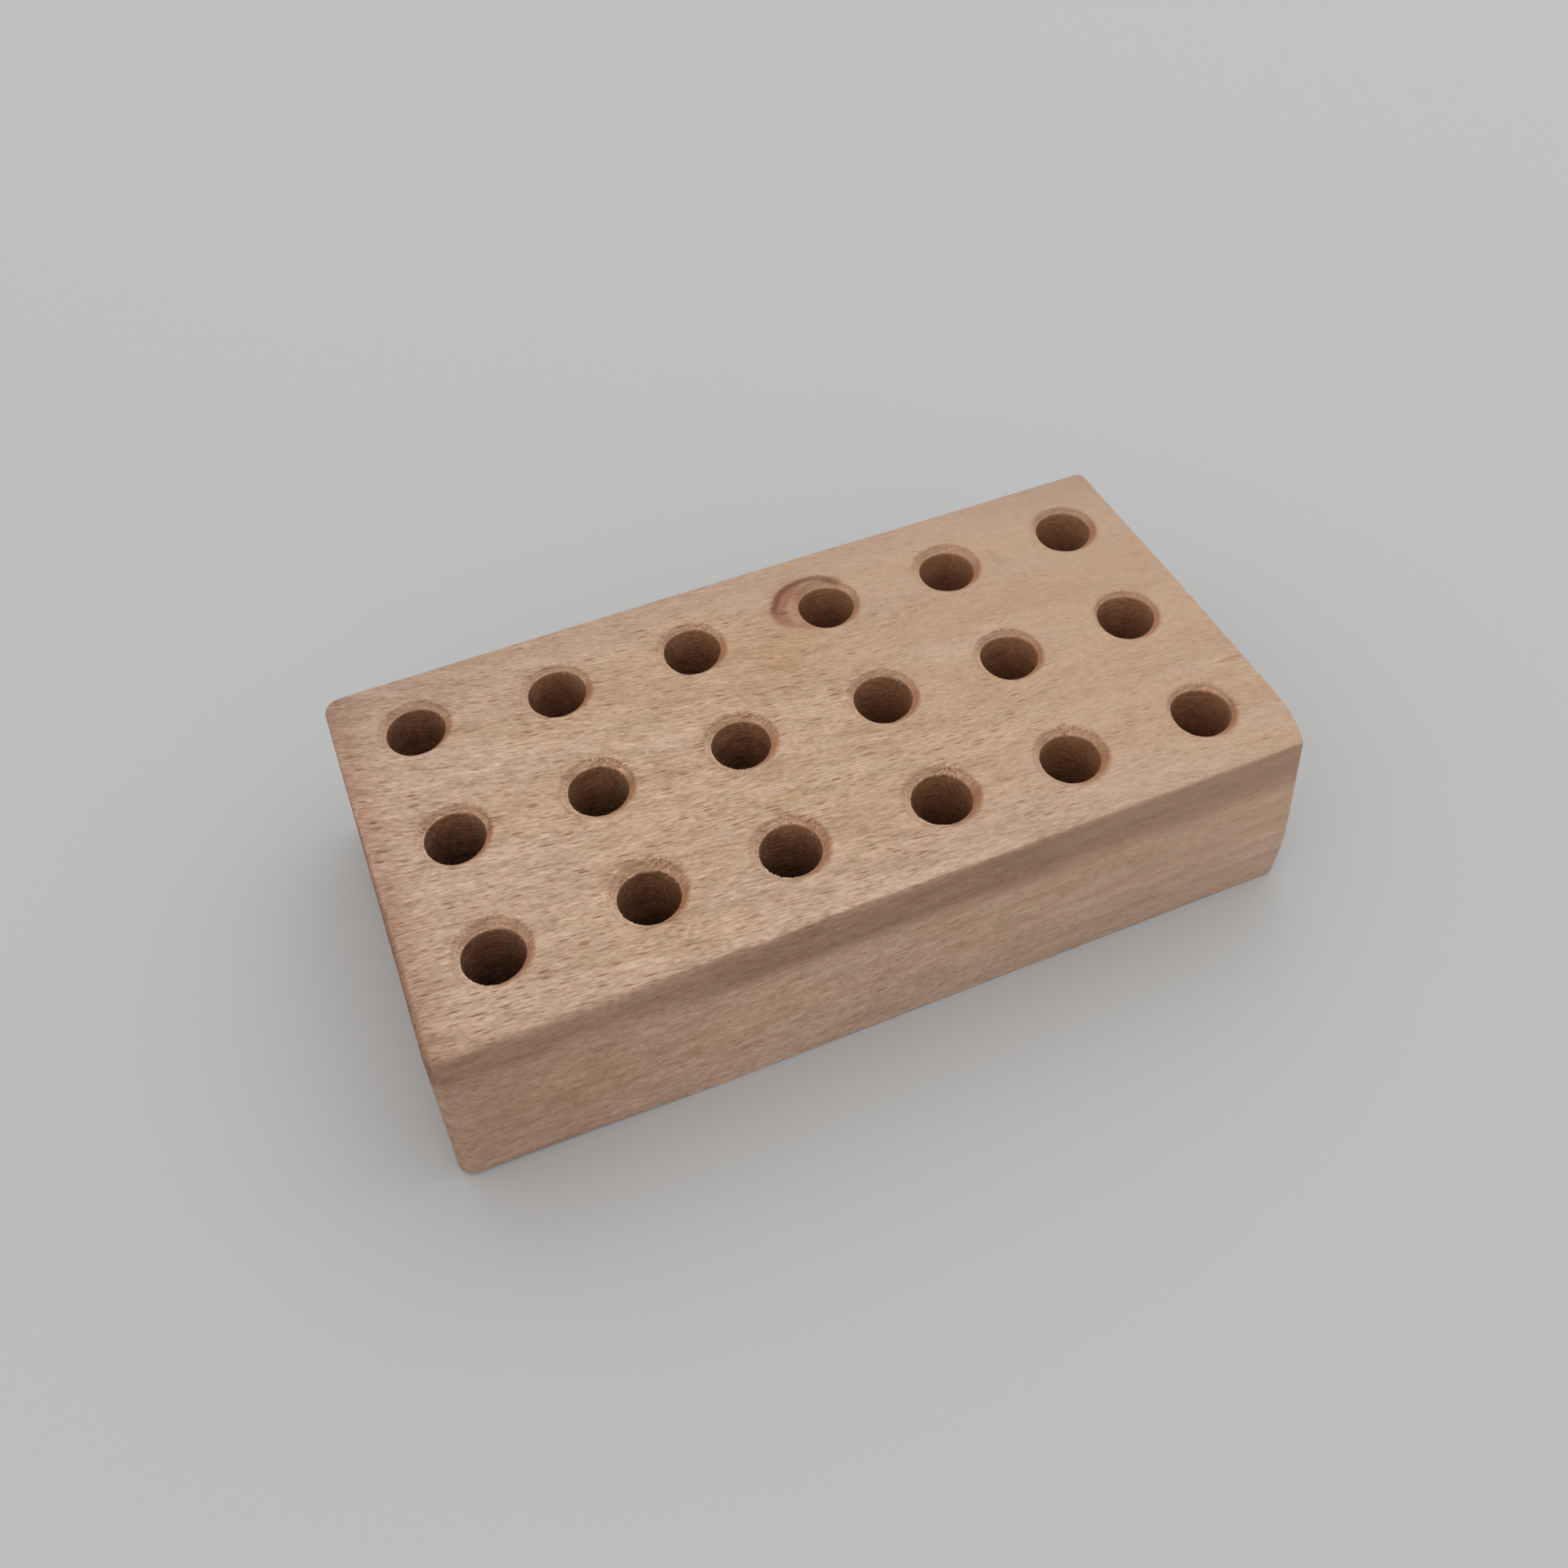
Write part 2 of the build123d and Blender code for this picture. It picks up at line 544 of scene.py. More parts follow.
def side_profile(place):
    """(inset, height) down a side at a place, from the top's sanded edge to the base's."""
    profile = []
    edge = top_edge(place)
    for k in range(EDGE_SEGMENTS + 1):
        turn = math.pi / 2 * k / EDGE_SEGMENTS
        profile.append((edge * TOP_EDGE_TAIL * (1 - math.sin(turn)), TOP - edge * (1 - math.cos(turn))))
    foot = base_edge(place)
    low, high = foot, TOP - edge
    for k in range(1, SIDE_ROWS):
        profile.append((0.0, blend(high, low, k / SIDE_ROWS)))
    for k in range(EDGE_SEGMENTS + 1):
        turn = math.pi / 2 * k / EDGE_SEGMENTS
        profile.append((foot * (1 - math.cos(turn)), foot * (1 - math.sin(turn))))
    return profile


def front_inset(x, z):
    """How far the twisted front lies inside the box at a place."""
    across = (x - box_low.x) / (box_high.x - box_low.x)
    up = z / TOP
    base = blend(FRONT_INSET_BASE_LEFT, FRONT_INSET_BASE_RIGHT, smooth(0.0, FRONT_BASE_FADE, across))
    top = blend(FRONT_INSET_TOP_LEFT, FRONT_INSET_TOP_RIGHT, across)
    return blend(base, top, up)


def hand_finish(place, normal):
    """Move one point of the surface as work by hand leaves it: never outwards."""
    on_base = place.z < 0.001
    broad = noise.noise(place * BROAD_WAVES + BROAD_WAVE_SEED)
    fine = noise.noise(place * FINE_WAVES + FINE_WAVE_SEED)
    place = place - normal * (BROAD_WAVE_DEPTH * (1 + broad) + FINE_WAVE_DEPTH * (1 + fine))
    near_front = smooth(row_places[0] - RIM_RADIUS - FRONT_MARGIN, box_low.y, place.y)
    near_back = smooth(row_places[-1] + RIM_RADIUS + BACK_MARGIN, box_high.y, place.y)
    near_right = smooth(column_places[-1] + RIM_RADIUS + RIGHT_MARGIN, box_high.x, place.x)
    back = smooth(0.0, box_high.y, place.y)
    right = smooth(BACK_LEAN_START, box_high.x, place.x)
    low_corner = max(1 - place.z / LOW_CORNER_HEIGHT, 0.0) ** 2
    low_corner *= smooth(*LOW_CORNER_X, place.x) * smooth(*LOW_CORNER_Y, place.y)
    place.x -= RIGHT_INSET_BACK * near_right * back + LOW_CORNER_WEAR * low_corner
    place.y -= BACK_INSET_RIGHT * near_back * right
    place.y += front_inset(place.x, place.z) * near_front
    if on_base:
        place.z = 0.0
    return place


def build_block(material):
    bm = bmesh.new()
    layers = [bm.verts.layers.float.new(name) for name in MOUTH_ATTRIBUTES]

    across, up = cell_edges()
    for j in range(ROWS):
        for i in range(COLUMNS):
            loop = across[i][j][:-1] + up[i + 1][j][:-1]
            loop += across[i][j + 1][:0:-1] + up[i][j][:0:-1]
            Cell(bm, layers, j * COLUMNS + i, loop).build()

    around = [point for side in SIDES for point in side[:-1]]
    columns_down = []
    for place, normal in around:
        spots = [(place - normal * inset, z) for inset, z in side_profile(place)]
        columns_down.append([bm.verts.new((spot.x, spot.y, z)) for spot, z in spots])
    rows = [list(row) for row in zip(*columns_down)]
    grid_faces(bm, rows[::-1], closed=True)
    bm.faces.new(rows[-1][::-1])

    bmesh.ops.remove_doubles(bm, verts=bm.verts, dist=WELD_DISTANCE)
    bm.normal_update()
    moved = [hand_finish(v.co.copy(), v.normal) for v in bm.verts]
    for vert, place in zip(bm.verts, moved):
        vert.co = place
    return mesh_object("beech_block", bm, material)


# Torn fibres on the mouths

def add_sliver(bm, root, tip, side, width):
    """A closed three-sided splinter that is thickest a third of the way from its root."""
    up = (tip - root).cross(side).normalized()
    stations = ((0.02, 0.45), (0.33, 1.0), (0.7, 0.6), (0.98, 0.12))
    loops = []
    for share, thickness in stations:
        middle = root.lerp(tip, share) + up * math.sin(math.pi * share) * width * 0.6
        corners = []
        for turn in (0, 2 * math.pi / 3, 4 * math.pi / 3):
            offset = side * math.cos(turn) + up * math.sin(turn) * 0.6
            corners.append(bm.verts.new(middle + offset * width * thickness / 2))
        loops.append(corners)
    grid_faces(bm, loops, closed=True)
    bm.faces.new(loops[0][::-1])
    bm.faces.new(loops[-1])


def build_fibres(material):
    """Short splinters that the drill left standing on the torn parts of the mouths."""
    bm = bmesh.new()
    rng = random.Random(5)
    for index, centre in enumerate(sockets):
        wanted = round(FIBRES_ON_A_MOUTH * TEARS[index])
        while wanted > 0:
            angle = rng.uniform(0, 2 * math.pi)
            if rng.random() > 0.04 + tear(index, angle):
                continue
            wanted -= 1
            behind = math.sin(angle) > 0
            t = rng.uniform(0.05, 1.0) if behind else rng.uniform(0.75, 1.0)
            direction = Vector((math.cos(angle), math.sin(angle), 0))
            depth = chamfer_depth(index, direction.xy)
            root = centre.to_3d() + direction * (SOCKET_RADIUS + depth * (1 - t))
            root.z = TOP - depth * t - FIBRE_SINK
            heading = rng.gauss(0.0, 0.55) + (math.pi if rng.random() < 0.5 else 0.0) - 0.1
            along = Vector((math.cos(heading), math.sin(heading), 0))
            inward = along.dot(direction)
            length = rng.uniform(*(FIBRE_LENGTH_BEHIND if behind else FIBRE_LENGTH_IN_FRONT))
            along.z = max(-inward, -0.2) * -0.2 + inward * 0.75 if t < 0.95 else rng.uniform(-0.5, 0.1)
            tip = root + along * length
            tip.z = min(tip.z, TOP - FIBRE_SINK)
            side = Vector((-along.y, along.x, 0)).normalized()
            add_sliver(bm, root, tip, side, rng.uniform(*FIBRE_WIDTH))
    return mesh_object("rim_fibres", bm, material)


# Materials

class Term:
    """A number or vector inside a material. Python's signs between terms become math nodes."""

    def __init__(self, graph, socket):
        self.graph = graph
        self.socket = socket

    def __add__(self, other):
        return self.graph.math("ADD", self, other)

    def __radd__(self, other):
        return self.graph.math("ADD", other, self)

    def __sub__(self, other):
        return self.graph.math("SUBTRACT", self, other)

    def __rsub__(self, other):
        return self.graph.math("SUBTRACT", other, self)

    def __mul__(self, other):
        return self.graph.math("MULTIPLY", self, other)

    def __truediv__(self, other):
        return self.graph.math("DIVIDE", self, other)


# The sockets of a node that mixes two colours
MIX_SHARE = 0
MIX_FIRST = 6
MIX_SECOND = 7
MIX_RESULT = 2


class Graph:
    """A material's nodes, with short calls for those that the wood needs."""

    def __init__(self, name):
        self.material = bpy.data.materials.new(name)
        self.material.use_nodes = True
        self.tree = self.material.node_tree
        self.shader = self.tree.nodes["Principled BSDF"]

    def node(self, kind, inputs, **settings):
        node = self.tree.nodes.new("ShaderNode" + kind)
        for name, value in settings.items():
            setattr(node, name, value)
        for key, value in inputs.items():
            self.feed(node.inputs[key], value)
        return node

    def feed(self, socket, value):
        if isinstance(value, Term):
            self.tree.links.new(value.socket, socket)
        else:
            socket.default_value = value

    def math(self, operation, *values, clamp=False):
        node = self.node("Math", dict(enumerate(values)), operation=operation, use_clamp=clamp)
        return Term(self, node.outputs[0])

    def clamp(self, value):
        return self.math("ADD", value, 0.0, clamp=True)

    def size(self, value):
        return self.math("ABSOLUTE", value)

    def ramp(self, value, start, end, first=0.0, last=1.0):
        """Go smoothly from first, where the value is start, to last, where it is end."""
        inputs = {"Value": value, "From Min": start, "From Max": end, "To Min": first, "To Max": last}
        node = self.node("MapRange", inputs, interpolation_type="SMOOTHSTEP")
        return Term(self, node.outputs[0])

    def vector(self, x, y, z):
        return Term(self, self.node("CombineXYZ", {0: x, 1: y, 2: z}).outputs[0])

    def split(self, vector):
        node = self.node("SeparateXYZ", {0: vector})
        return [Term(self, output) for output in node.outputs]

    def noise(self, x, y, z, detail=2.0, roughness=0.5, distortion=0.0):
        """Cloudy noise round 0.5, with about one lump to each unit of x, y and z."""
        inputs = {
            "Vector": self.vector(x, y, z), "Scale": 1.0, "Detail": detail,
            "Roughness": roughness, "Distortion": distortion,
        }
        return Term(self, self.node("TexNoise", inputs).outputs[0])

    def cells(self, x, y, z):
        """Scattered spots, one to each unit: the distance to the nearest, and a random number for it."""
        node = self.node("TexVoronoi", {"Vector": self.vector(x, y, z), "Scale": 1.0, "Randomness": 1.0})
        chance = self.split(Term(self, node.outputs["Color"]))[0]
        return Term(self, node.outputs["Distance"]), chance

    def mix(self, share, first, second):
        """Go from one fixed colour to another, as far as share says."""
        node = self.tree.nodes.new("ShaderNodeMix")
        node.data_type = "RGBA"
        self.feed(node.inputs[MIX_SHARE], share)
        self.feed(node.inputs[MIX_FIRST], (*first, 1))
        self.feed(node.inputs[MIX_SECOND], (*second, 1))
        return Term(self, node.outputs[MIX_RESULT])

    def tint(self, colour, share, factor):
        """Multiply a colour by factor, as far as share says."""
        node = self.tree.nodes.new("ShaderNodeMix")
        node.data_type = "RGBA"
        node.blend_type = "MULTIPLY"
        self.feed(node.inputs[MIX_SHARE], share)
        self.feed(node.inputs[MIX_FIRST], colour)
        self.feed(node.inputs[MIX_SECOND], (*factor, 1))
        return Term(self, node.outputs[MIX_RESULT])

    def brighten(self, colour, factor):
        """Multiply a colour by a number."""
        node = self.node("VectorMath", {"Vector": colour, "Scale": factor}, operation="SCALE")
        return Term(self, node.outputs[0])

    def vary(self, colour, amount, weights):
        """Lighten or darken a colour by an amount, with a weight each for red, green and blue."""
        factor = self.vector(*(1.0 + amount * weight for weight in weights))
        node = self.node("VectorMath", {0: colour, 1: factor}, operation="MULTIPLY")
        return Term(self, node.outputs[0])

    def attribute(self, name):
        return Term(self, self.node("Attribute", {}, attribute_name=name).outputs["Fac"])

    def object_place(self):
        node = self.node("TexCoord", {})
        place = self.brighten(Term(self, node.outputs["Object"]), 1 / MM)
        return place, Term(self, node.outputs["Normal"])

    def add_bump(self, relief):
        """Raise the surface by a relief in millimetres."""
        bump = self.node("Bump", {"Height": relief, "Distance": MM, "Strength": 1.0})
        self.feed(self.shader.inputs["Normal"], Term(self, bump.outputs[0]))

    def spot(self, x, y, centre, half_length, half_width, slope):
        """A soft-edged oval on the top: 1 in its middle and 0 outside it."""
        across = x - centre[0]
        along = y - centre[1] - across * slope
        across, along = across / half_length, along / half_width
        return self.ramp(across * across + along * along, 1.0, 0.0)


# Colours are linear. The beech and the torn wood have a colour each; the rest are factors that tint them.
BEECH_PINK = (0.512, 0.344, 0.248)
BEECH_YELLOW = (0.500, 0.328, 0.205)
WARM_STREAK = (1.07, 0.97, 0.95)
GREEN_STREAK = (1.0, 1.0, 0.91)
SHADE_WEIGHTS = (0.85, 1.0, 1.25)  # darker wood is also browner
FLECK = (0.62, 0.46, 0.35)
FINE_FLECK = (0.76, 0.64, 0.52)
LATEWOOD = (0.90, 0.86, 0.82)
DARK_LAYER = (0.64, 0.56, 0.51)
KNOT_RED = (0.73, 0.52, 0.42)
KNOT_LINE = (0.50, 0.34, 0.25)
OCHRE = (0.92, 0.83, 0.62)
BROWN_MARK = (0.72, 0.60, 0.48)
PALE_WOOD = (1.08, 1.08, 1.06)
END_GRAIN = (0.80, 0.72, 0.66)
# painted shade: a dark line for a thin groove round each chamfer's outer edge
RIM_GROOVE_SHADE = (0.70, 0.60, 0.53)
# painted shade, slightly pink, on the far side of each chamfer
RIM_FAR_SHADE = (0.93, 0.87, 0.85)
RIM_RED = (0.97, 0.89, 0.83)
RIM_SHADE = (0.91, 0.88, 0.86)
# painted light on the near left of each chamfer
RIM_PAINTED_LIGHT = (1.20, 1.25, 1.30)
# painted shade on the near right of each chamfer
RIM_NEAR_RIGHT_SHADE = (0.80, 0.62, 0.48)
TORN_BROWN = (0.64, 0.49, 0.37)
# painted shade down the sockets, browner than the wood
SOCKET_SHADE = (0.53, 0.385, 0.295)
CREAM = (1.42, 1.42, 1.40)
# pale torn fibres at the lip, partly a painted highlight
PALE_LIP_AND_HIGHLIGHT = (1.42, 1.39, 1.34)
# darker wood at the top's left end from handling, and painted shade on the front towards its left
HANDLING_AND_SHADE = (0.80, 0.71, 0.68)
TORN_PALE = (0.50, 0.35, 0.25)
TORN_DARK = (0.33, 0.20, 0.13)

# The wood's grain, in the block's own millimetres
GRAIN_SLOPE = 0.085  # how far the grain turns towards the front for each millimetre to the right
GRAIN_WANDER = 0.2  # the width of the band in which it wanders
PITH = (30.0, -120.0)  # y and z of the middle of the tree
YEAR = 2.7  # the thickness of one year's growth
WARMTH_START = 31  # these two keep one pattern from lying over another
FINE_FLECK_START = 7
KNOT = (8.6, 17.1)
KNOT_RADIUS = 5.05
KNOT_PUSH = 14  # the knot pushes the grain aside most where the squared distance from its middle is this
STAINS = (  # the middle, half length, half width, slope, tint and strength of each
    ((0.7, 9.5), 3.4, 1.5, -0.35, OCHRE, 1.0),
    ((3.8, 11.6), 6.5, 2.9, -0.05, OCHRE, 0.75),
    ((0.5, -15.7), 4.0, 3.0, 0.0, BROWN_MARK, 0.38),
    ((-16.0, -2.7), 7.0, 4.0, -0.1, PALE_WOOD, 0.9),
    ((5.0, 3.4), 1.2, 1.9, 0.0, BROWN_MARK, 0.6),
    ((32.0, 15.8), 0.8, 1.9, 0.0, BROWN_MARK, 0.55),
    ((-7.2, -9.1), 4.6, 0.7, -0.08, OCHRE, 1.0),
    ((48.8, -11.3), 2.6, 0.45, -0.12, BROWN_MARK, 1.0),
    ((-27.0, -24.2), 9.0, 1.2, -0.1, BROWN_MARK, 0.15),
    ((-0.5, 14.6), 8.0, 4.5, -0.1, OCHRE, 0.6),
    ((17.2, -1.0), 7.5, 4.0, -0.1, BROWN_MARK, 0.18),
)


class Beech(Graph):
    """Sanded beech. Each method whose name begins with add brings one more thing into its colour."""

    def __init__(self):
        super().__init__("beech")
        place, normal = self.object_place()
        self.x, self.y, self.z = self.split(place)
        normal_x, normal_y, normal_z = self.split(normal)
        kept = [self.attribute(name) for name in MOUTH_ATTRIBUTES]
        self.mouth, self.sink, self.reach, self.bearing_x, self.bearing_y, self.torn = kept
        self.facing_end = self.ramp(self.size(normal_x), 0.55, 0.9) * (1.0 - self.mouth)
        self.facing_up = self.ramp(normal_z, 0.5, 0.9)
        self.facing_front = self.ramp(normal_y, -0.5, -0.85) * (1.0 - self.mouth)
        self.on_top = self.ramp(self.z, 15, 20)

    def stain(self, share, factor):
        """Multiply the colour so far by factor, as far as share says."""
        self.colour = self.tint(self.colour, share, factor)

    def shade(self, factor):
        self.colour = self.brighten(self.colour, factor)

    def lumps(self, length, width, height, **settings):
        """Noise with lumps of this length along the grain, width across it and height."""
        return self.noise(self.x / length, self.across / width, self.z / height, **settings)

    def lay_grain(self):
        """The grain runs along X, turns a little to the front on its way right and flows round the knot."""
        x, y, z = self.x, self.y, self.z
        self.knot_x = x - KNOT[0]
        self.knot_y = y - KNOT[1]
        self.knot_square = self.knot_x * self.knot_x + self.knot_y * self.knot_y
        pushed = self.knot_y * KNOT_PUSH / (self.knot_square + KNOT_PUSH)
        wander = self.noise(x / 18, y / 7, z / 8, detail=1.0) - 0.5
        bend = self.ramp(y, -14, 20) * (x * 0.06 - x * x * 0.0014)
        self.across = y + x * GRAIN_SLOPE + bend - pushed + wander * GRAIN_WANDER

        self.from_pith = self.across - PITH[0]
        self.above_pith = z - PITH[1]
        pith_square = self.from_pith * self.from_pith + self.above_pith * self.above_pith
        self.layer = self.math("SQRT", pith_square)
        layer_wander = self.lumps(30, 14, 14, detail=1.0) - 0.5
        year = self.math("FRACT", self.layer / YEAR + layer_wander * 0.9)
        self.latewood = self.ramp(year, 0.35, 0.93) * self.ramp(year, 1.0, 0.95)

    def add_hues(self):
        """Broad changes between pink and yellow wood."""
        self.cloud = self.lumps(17, 5, 8, detail=2.5)
        middle = self.ramp(self.x, -48, -16) * self.ramp(self.size(self.y), 27, 10, 0.4, 1.0)
        front_middle = self.facing_front * self.ramp(self.z, 4, 9) * self.ramp(self.z, 20, 15)
        yellow = middle * 0.6 * (1.0 - self.facing_front) + front_middle * 0.4
        yellow = self.clamp(yellow + (self.cloud - 0.5) * 1.6 + 0.1)
        self.colour = self.mix(yellow, BEECH_PINK, BEECH_YELLOW)

    def add_fine_grain(self):
        """Long streaks and hair-thin fibres, crispest towards the front left, calmer on the front itself."""
        self.patches = self.lumps(6, 1.5, 1.4)
        self.streaks = self.lumps(1.9, 0.24, 0.34, roughness=0.6, distortion=0.15)
        self.fibres = self.lumps(2.8, 0.10, 0.12, detail=1.5, roughness=0.6)
        self.mottle = self.lumps(0.7, 0.3, 0.4)
        warmth = self.noise(self.x / 1.8 + WARMTH_START, self.across / 0.36, self.z / 0.5) - 0.5
        crisp = self.ramp(self.x, -15, 45, 1.42, 0.66)
        crisp = crisp * self.ramp(self.y + self.x * 0.35, -6, 34, 1.0, 0.45)
        self.crisp = crisp * (1.0 - self.facing_front * 0.3)
        uneven = (self.patches - 0.5) * 0.5 + (self.streaks - 0.5) * 0.85
        uneven = uneven + (self.fibres - 0.5) * 0.6 + (self.mottle - 0.5) * 0.6
        front_bands = self.noise(self.x / 8, 0, self.z / 0.9) - 0.5
        self.stain(self.latewood * 0.5, LATEWOOD)
        self.stain(self.clamp(warmth * 3.0), WARM_STREAK)
        self.stain(self.clamp(warmth * -3.0), GREEN_STREAK)
        change = uneven * self.crisp + front_bands * self.facing_front * 0.4
        self.colour = self.vary(self.colour, change, SHADE_WEIGHTS)

    def add_flecks(self):
        """Ray flecks: dark spindles on the top, wider and fainter on the sides."""
        where = self.ramp(self.lumps(11, 4, 5, detail=1.0), 0.36, 0.62)
        distance, chance = self.cells(self.x / 2.4, self.across / 0.42, self.z / 1.3)
        fleck = self.ramp(distance, 0.38, 0.08) * self.ramp(chance, 0.35, 0.75)
        distance, chance = self.cells(self.x / 1.3 + FINE_FLECK_START, self.across / 0.26, self.z / 0.8)
        fine_fleck = self.ramp(distance, 0.42, 0.12) * self.ramp(chance, 0.25, 0.8)
        seen = (0.3 + self.facing_up * 0.7) * self.crisp
        self.fleck = fleck * seen
        self.stain(self.clamp(self.fleck * (0.5 + where * 0.7)), FLECK)
        self.stain(fine_fleck * seen * (0.4 + where * 0.6), FINE_FLECK)

    def add_handling_and_shade(self):
        """Handling has darkened the left and back edges of the top. Painted shade darkens the front towards
        the left, painted light brightens its right end, and the front is darker low down left of its middle.
        """
        x, y, z = self.x, self.y, self.z
        at_back_left = self.ramp(x, -20, -42) * self.ramp(y, 5, 18)
        at_back_right = self.ramp(x, 30, 48) * self.ramp(y, 8, 22)
        handled = self.ramp(y, 19, 26) * 0.10 + at_back_left * 0.06 + at_back_right * 0.07
        # Painted light: the front's right end is brightened. The front is also darker low down, left of its
        # middle.
        front_right = self.ramp(x, 30, 46) * 0.05
        front_foot = self.ramp(z, 8, 3) * self.ramp(x, -18, -4) * 0.11
        self.shade(1.0 - handled * self.on_top + self.facing_front * (front_right - front_foot))
        # Painted shade: the front is darkened towards its left end. The same tint darkens the top's left end,
        # worn by handling.
        front_left_shade = self.facing_front * self.ramp(x, -8, -46) * 0.8
        self.stain(self.clamp(self.ramp(x, -45, -50) * self.on_top + front_left_shade), HANDLING_AND_SHADE)

    def add_dark_layer(self):
        """A darker layer below the top, which shows along the front."""
        x = self.x
        height = self.z + (self.y + 26) * 0.1 + (self.patches - 0.5) * 1.2 + self.noise(x / 9, 0, 0) * 1.6
        height = height + self.ramp(x, -34, -14) * 1.5
        dark = self.ramp(height, 16.4, 19.4) * self.ramp(self.streaks, 0.2, 0.6, 0.8, 1.0)
        dark = dark * self.ramp(x, -32, -14, 0.60, 1.06) * self.ramp(x, 12, 28, 1.0, 0.76)
        below_top = self.ramp(TOP - self.z, 0.1, 0.25) * (1.0 - self.mouth)
        self.stain(self.clamp(dark * below_top), DARK_LAYER)

    def add_knot(self):
        """A soft red band at the knot's left, a thin brown line over its top, and tinted wood inside."""
        x, y = self.knot_x, self.knot_y
        ring = self.math("SQRT", self.knot_square + y * y * 0.2)
        off_ring = ring + (self.patches - 0.5) * 1.1 - KNOT_RADIUS
        at_left = self.ramp(x - y * 0.3, 1.0, -4.0) * self.ramp(y, -4.6, 0.0, 0.2, 1.0)
        band = self.ramp(self.size(off_ring + 0.35), 1.45, 0.25) * self.ramp(self.cloud, 0.3, 0.6, 0.55, 1.0)
        halo = self.ramp(self.size(off_ring), 2.6, 0.4) * 0.25
        self.stain(self.clamp((band + halo) * at_left) * self.on_top, KNOT_RED)

        over_top = self.ramp(x - y * 0.2, 4.5, 1.0) * self.ramp(y, -1.5, 2.0) + self.ramp(y, 1.5, 4.0) * 0.5
        line = self.ramp(self.size(off_ring - 0.1), 0.75, 0.1) * self.clamp(over_top)
        self.stain(line * self.ramp(self.streaks, 0.25, 0.5, 0.75, 1.0) * self.on_top, KNOT_LINE)

        inside = self.ramp(off_ring, 0.3, -1.2) * self.ramp(x, 2.0, -3.0)
        inside = inside * self.ramp(self.patches, 0.3, 0.6, 0.4, 0.75)
        self.stain(inside * self.on_top, KNOT_RED)

    def add_stains(self):
        broken = self.ramp(self.fibres, 0.3, 0.6)
        for centre, half_length, half_width, slope, tint, strength in STAINS:
            share = self.spot(self.x, self.y, centre, half_length, half_width, slope) * strength
            self.stain(share * self.on_top * broken, tint)

    def add_end_grain(self):
        """Darker ends, with pores and pale rays that point to the pith."""
        distance, chance = self.cells(self.across / 0.16, self.z / 0.16, self.x / 2)
        self.pores = self.facing_end * (self.ramp(distance, 0.45, 0.15) * self.ramp(chance, 0.3, 0.9))
        ray = self.noise(self.from_pith / self.above_pith * 900, self.layer / 9, self.x / 3, detail=1.0)
        self.stain(self.facing_end, END_GRAIN)
        self.stain(self.pores * 0.55, FLECK)
        self.shade(1.0 + self.facing_end * (self.ramp(ray, 0.55, 0.75) * 0.22 - self.latewood * 0.16))

    def add_mouths(self):
        """The drill's circles, red end grain at the right, torn brown and cream spots, and a pale lip that is
        partly a painted highlight. Painted shade lies on the far and near right sides of each chamfer and
        along a groove round its outer edge, and painted light on its near left.
        """
        right, back, torn = self.bearing_x, self.bearing_y, self.torn
        slope = self.ramp(self.sink, 0.0, 0.2) * self.ramp(self.sink, 1.04, 0.98)
        turning = self.noise(self.reach * 6, right * 1.2, back * 1.2)
        crumbs = self.noise(self.x / 0.34, self.y / 0.18, self.z / 0.3, detail=2.5, roughness=0.6)
        # Painted shade: a thin dark line where a groove runs round each chamfer's outer edge.
        rim_groove_shade = self.ramp(self.mouth, 0.95, 1.0) * self.ramp(self.sink, 0.30, 0.05)
        at_far_side = self.ramp(back + right * 0.5, -0.3, 0.6)
        at_far_left = self.ramp(back * 0.87 - right * 0.5, 0.0, 0.8)
        at_near_left = self.ramp(right * -0.92 - back * 0.38, 0.4, 0.95)
        at_near_right = self.ramp(right * 0.57 - back * 0.82, 0.35, 0.95)
        at_right = self.ramp(right, 0.1, 0.8)

        self.shade(1.0 + slope * (0.02 + (turning - 0.5) * 0.9))
        # Painted shade, slightly pink, on each chamfer's far side, and more of it towards the far left.
        self.stain(slope * at_far_side, RIM_FAR_SHADE)
        self.stain(slope * at_far_left, RIM_SHADE)
        rim_share = self.clamp(0.5 + at_far_side * 0.5) * self.ramp(crumbs, 0.3, 0.6)
        self.stain(rim_groove_shade * rim_share * self.ramp(self.x, 30, 38, 1.0, 0.4), RIM_GROOVE_SHADE)
        self.stain(slope * at_right * self.ramp(turning, 0.35, 0.6, 0.4, 1.0), RIM_RED)
        # Painted light on each chamfer's near left.
        self.stain(slope * at_near_left, RIM_PAINTED_LIGHT)
        # Painted shade, browner, on each chamfer's near right and along its groove there.
        self.stain(self.clamp(slope + rim_groove_shade * 0.5) * at_near_right, RIM_NEAR_RIGHT_SHADE)
        self.stain(slope * torn * self.ramp(crumbs, 0.52, 0.62), TORN_BROWN)
        self.stain(slope * self.clamp(torn * 1.6) * self.ramp(crumbs, 0.47, 0.40), CREAM)

        spill = self.ramp(self.mouth, 0.45, 0.9) * self.ramp(self.sink, 0.1, 0.0) * self.clamp(torn * 0.9)
        self.stain(spill * self.ramp(crumbs, 0.52, 0.60), TORN_BROWN)
        self.stain(spill * self.ramp(crumbs, 0.46, 0.38), CREAM)
        # A pale lip: pale torn fibres where the mouth is torn, and a painted highlight, strongest towards
        # each socket's left.
        lip = self.ramp(self.size(self.sink - 1.0), 0.24, 0.05) * self.ramp(crumbs, 0.42, 0.52)
        self.stain(self.clamp(lip * (self.ramp(right, 0.8, -0.2) + torn)), PALE_LIP_AND_HIGHLIGHT)
        self.mouth_relief = slope * turning * 0.07 + (slope * torn + spill) * crumbs * 0.12

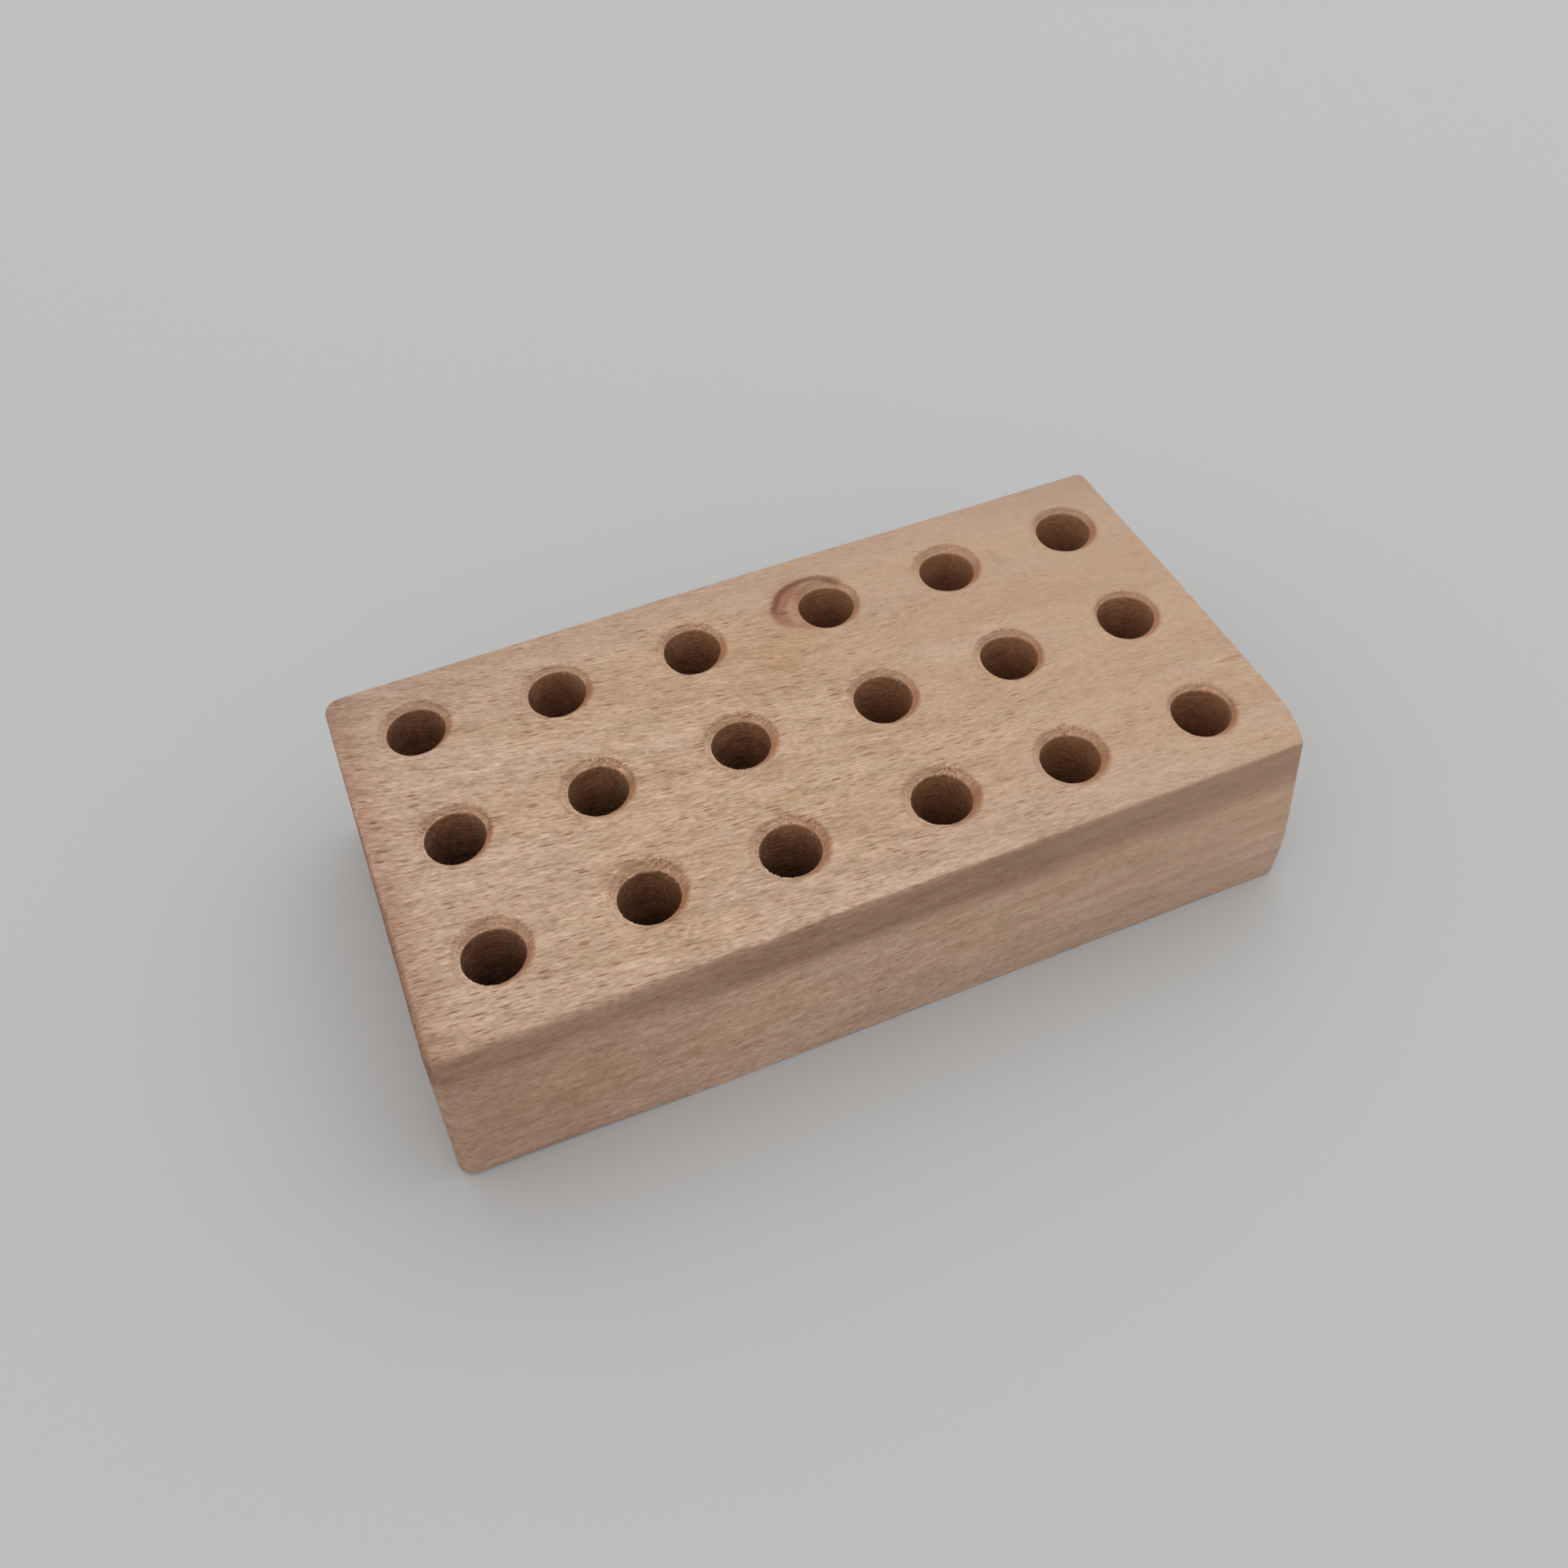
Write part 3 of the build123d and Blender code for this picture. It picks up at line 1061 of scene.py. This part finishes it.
    def add_walls(self):
        """Socket walls: browned and darkened by painted shade, more so further down, lighter on each socket's
        right wall by painted light, and paler towards the back right.
        """
        x, y, z = self.x, self.y, self.z
        wall = self.ramp(self.sink, 1.0, 1.15)
        marks = self.noise(x / 1.6, y / 0.3, z / 0.35, detail=3.0, roughness=0.6)
        soot = self.noise(x / 2.2, y / 2.2, z / 3.5)
        # The level darkens further down, as painted shade, and lifts on each socket's right wall, as painted
        # light. The tool marks and mottling are the wall's own.
        level = (marks - 0.5) * 1.6 + (soot - 0.5) * 0.9 - self.ramp(self.sink, 3.0, 13.0) * 0.35
        level = level + self.bearing_x * 0.2 + (x + y + 30) * 0.0045
        # Painted shade down the walls.
        self.stain(wall, SOCKET_SHADE)
        self.shade(1.0 + wall * level)
        self.wall_relief = wall * marks * 0.12

    def finish(self):
        """Feed the shader, with the relief's heights in millimetres."""
        grain_relief = self.fibres * 0.030 + self.mottle * 0.016 - self.fleck * 0.02 - self.pores * 0.04
        roughness = 0.60 + (self.fibres - 0.5) * 0.3 + self.facing_end * 0.12 + self.mouth * 0.1
        self.feed(self.shader.inputs["Base Color"], self.colour)
        self.feed(self.shader.inputs["Roughness"], roughness)
        self.add_bump(grain_relief + self.mouth_relief + self.wall_relief)
        return self.material


def beech_material():
    """Sanded beech: bent grain with ray flecks, growth layers, a knot, sockets darkened by painted shade and
    open end grain.
    """
    wood = Beech()
    wood.lay_grain()
    wood.add_hues()
    wood.add_fine_grain()
    wood.add_flecks()
    wood.add_handling_and_shade()
    wood.add_dark_layer()
    wood.add_knot()
    wood.add_stains()
    wood.add_end_grain()
    wood.add_mouths()
    wood.add_walls()
    return wood.finish()


def fibre_material():
    """Torn wood: about as pale as the sanded top, and browner here and there."""
    g = Graph("torn_fibre")
    place, _ = g.object_place()
    x, y, z = g.split(place)
    brown = g.ramp(g.noise(x / 0.5, y / 0.5, z / 0.5, detail=1.0), 0.5, 0.66)
    colour = g.mix(brown, TORN_PALE, TORN_DARK)
    grain = g.noise(x / 0.2, y / 0.05, z / 0.05, detail=1.0)
    colour = g.brighten(colour, 0.8 + grain * 0.4)
    g.feed(g.shader.inputs["Base Color"], colour)
    g.feed(g.shader.inputs["Roughness"], 0.65 + grain * 0.2)
    g.add_bump(grain * 0.02)
    return g.material


def flat_material(name, colour):
    material = bpy.data.materials.new(name)
    material.use_nodes = True
    shader = material.node_tree.nodes["Principled BSDF"]
    shader.inputs["Base Color"].default_value = (*colour, 1)
    return material


def build_stage():
    """A plain pale floor, a soft lamp overhead and an even sky."""
    bm = bmesh.new()
    bmesh.ops.create_grid(bm, x_segments=1, y_segments=1, size=FLOOR_SIZE)
    floor = mesh_object("floor", bm, flat_material("pale_floor", FLOOR_COLOUR))

    world = bpy.data.worlds.new("studio")
    bpy.context.scene.world = world
    world.use_nodes = True
    sky = world.node_tree.nodes["Background"]
    sky.inputs["Color"].default_value = SKY_COLOUR
    sky.inputs["Strength"].default_value = SKY_STRENGTH

    lamp = bpy.data.lights.new("softbox", "AREA")
    lamp.shape = "SQUARE"
    lamp.size = LAMP_SIZE_M
    lamp.energy = LAMP_POWER
    softbox = bpy.data.objects.new("softbox", lamp)
    softbox.location = LAMP_PLACE * MM
    softbox.rotation_euler = (-softbox.location).to_track_quat("-Z", "Y").to_euler()
    bpy.context.scene.collection.objects.link(softbox)


def build_camera():
    azimuth, elevation, roll = CAMERA_AZIMUTH, CAMERA_ELEVATION, CAMERA_ROLL
    back = Vector((
        math.sin(azimuth) * math.cos(elevation),
        -math.cos(azimuth) * math.cos(elevation),
        math.sin(elevation),
    ))
    level = Vector((0, 0, 1)).cross(back).normalized()
    upright = back.cross(level)
    right = level * math.cos(roll) + upright * math.sin(roll)
    up = upright * math.cos(roll) - level * math.sin(roll)
    lens = bpy.data.cameras.new("camera")
    lens.sensor_width = SENSOR_WIDTH
    lens.lens = FOCAL_LENGTH_PX * SENSOR_WIDTH / PHOTO_WIDTH_PX
    lens.shift_y = (PRINCIPAL_POINT_Y_PX - PHOTO_WIDTH_PX / 2) / PHOTO_WIDTH_PX
    lens.clip_start = CLIP_START_M
    camera = bpy.data.objects.new("camera", lens)
    turn = Matrix((right, up, back)).transposed().to_4x4()
    camera.matrix_world = Matrix.Translation(CAMERA_PLACE * MM) @ turn
    bpy.context.scene.collection.objects.link(camera)
    bpy.context.scene.camera = camera


bpy.context.scene.view_settings.view_transform = "Standard"
build_camera()
build_stage()
block = build_block(beech_material())
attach(block, "root")
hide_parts("dop_block")
fibres = build_fibres(fibre_material())
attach(fibres, "root")
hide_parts("dop_block")
